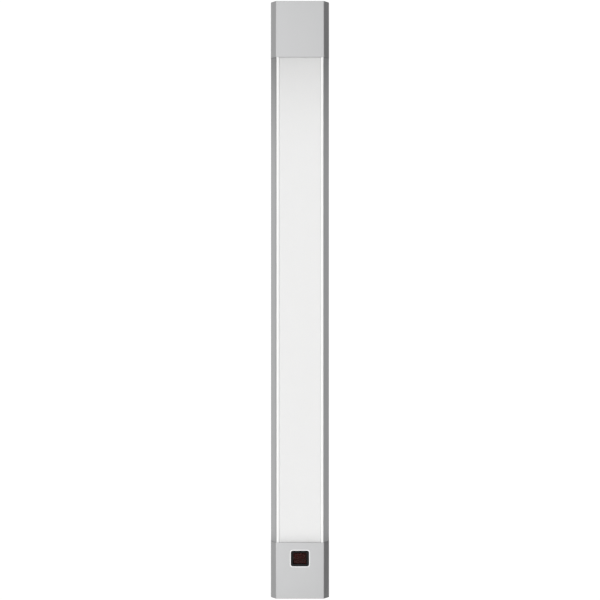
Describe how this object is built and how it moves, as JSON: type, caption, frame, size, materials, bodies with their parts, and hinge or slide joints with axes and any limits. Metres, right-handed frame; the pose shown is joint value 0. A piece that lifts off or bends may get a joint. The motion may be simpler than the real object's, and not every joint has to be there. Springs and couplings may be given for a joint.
{
  "type": "linear led light bar",
  "caption": "Slim linear furniture light: extruded housing with an opal diffuser, two silver end caps, a touch-free sensor window and sliding mounting clips.",
  "frame": {"origin": "middle of the rear mounting plane, half way along and half way across the lamp", "axes": "+Z along the lamp towards the wiring end, -Y out of the diffuser, +Y into the furniture, +X across the lamp to the right as seen from the light side"},
  "size_m": [0.0564, 0.022, 0.575],
  "materials": {
    "anodised_aluminium": "satin silver anodised extrusion with fine lengthwise die lines",
    "silver_abs": "moulded ABS with silver satin paint",
    "opal_acrylic": "opal light-diffusing acrylic, satin panel between glossy edge ribs",
    "moulded_grey": "unpainted grey ABS, fine moulded texture",
    "white_board": "white solder-resist circuit board with surface-mount LEDs",
    "green_board": "green solder-resist circuit board",
    "white_nylon": "natural white nylon",
    "screw_steel": "zinc-plated steel",
    "spring_steel": "bright spring steel strip",
    "black_gloss": "glossy black ABS",
    "black_matte": "matt black ABS",
    "ir_red_acrylic": "dark red infra-red passing acrylic, polished",
    "emitter_epoxy": "bluish clear epoxy",
    "receiver_epoxy": "dark daylight-blocking epoxy",
    "insulation_film": "cream insulating film",
    "transformer_tape": "yellow polyester tape over a ferrite core",
    "capacitor_sleeve": "dark shrink sleeve with a bare aluminium top",
    "copper_winding": "enamelled copper winding on a ferrite drum",
    "fuse_ceramic": "ceramic barrel with nickel-plated end caps",
    "red_nylon": "orange-red nylon",
    "blue_nylon": "blue nylon",
    "black_nylon": "black glass-filled nylon",
    "grommet_rubber": "black elastomer",
    "wire_brown": "brown PVC insulation",
    "wire_blue": "blue PVC insulation",
    "wire_red": "red PVC insulation",
    "wire_black": "black PVC insulation",
    "wire_grey": "grey PVC sheath"
  },
  "bodies": {
    "lamp": {"board_link": "white_nylon", "bulk_capacitor": "capacitor_sleeve", "cable_grommet": "grommet_rubber", "clamp_screw_lower": "screw_steel", "clamp_screw_upper": "screw_steel", "cord_clamp_bar": "black_nylon", "diffuser": "opal_acrylic", "driver_board": "green_board", "driver_insulation": "insulation_film", "driver_screw_left": "screw_steel", "driver_screw_right": "screw_steel", "fuse": "fuse_ceramic", "housing_profile": "anodised_aluminium", "inductor": "copper_winding", "ir_emitter": "emitter_epoxy", "ir_receiver": "receiver_epoxy", "led_board_lower": "white_board", "led_board_upper": "white_board", "led_lead_negative": "wire_black", "led_lead_positive": "wire_red", "light_baffle": "black_matte", "mains_lead_live": "wire_brown", "mains_lead_neutral": "wire_blue", "output_capacitor": "capacitor_sleeve", "sensor_base_screw_left": "screw_steel", "sensor_base_screw_right": "screw_steel", "sensor_bezel": "black_gloss", "sensor_board": "green_board", "sensor_board_screw_left": "screw_steel", "sensor_board_screw_right": "screw_steel", "sensor_cap_screw": "screw_steel", "sensor_connector": "white_nylon", "sensor_end_base": "moulded_grey", "sensor_end_cap": "silver_abs", "sensor_lead": "wire_grey", "sensor_window": "ir_red_acrylic", "terminal_block": "white_nylon", "transformer": "transformer_tape", "wiring_base_screw_left": "screw_steel", "wiring_base_screw_right": "screw_steel", "wiring_end_base": "moulded_grey"},
    "clip_upper": {"mount_clip_upper": "spring_steel"},
    "clip_lower": {"mount_clip_lower": "spring_steel"},
    "wiring_cap": {"wiring_end_cap": "silver_abs", "wiring_cap_screw": "screw_steel"},
    "live_release": {"button_live": "red_nylon"},
    "neutral_release": {"button_neutral": "blue_nylon"}
  },
  "joints": [
    {"name": "clip_upper_slide", "type": "slide", "parent": "lamp", "child": "clip_upper", "axis": [0, 0, 1], "range_m": [-0.13, 0.066]},
    {"name": "clip_lower_slide", "type": "slide", "parent": "lamp", "child": "clip_lower", "axis": [0, 0, 1], "range_m": [-0.066, 0.13]},
    {"name": "wiring_cap_slide", "type": "slide", "parent": "lamp", "child": "wiring_cap", "axis": [0, 0, 1], "range_m": [0, 0.058]},
    {"name": "live_release_push", "type": "slide", "parent": "lamp", "child": "live_release", "axis": [0, 1, 0], "range_m": [0, 0.0012], "stiffness_N_per_m": 800},
    {"name": "neutral_release_push", "type": "slide", "parent": "lamp", "child": "neutral_release", "axis": [0, 1, 0], "range_m": [0, 0.0012], "stiffness_N_per_m": 800}
  ]
}
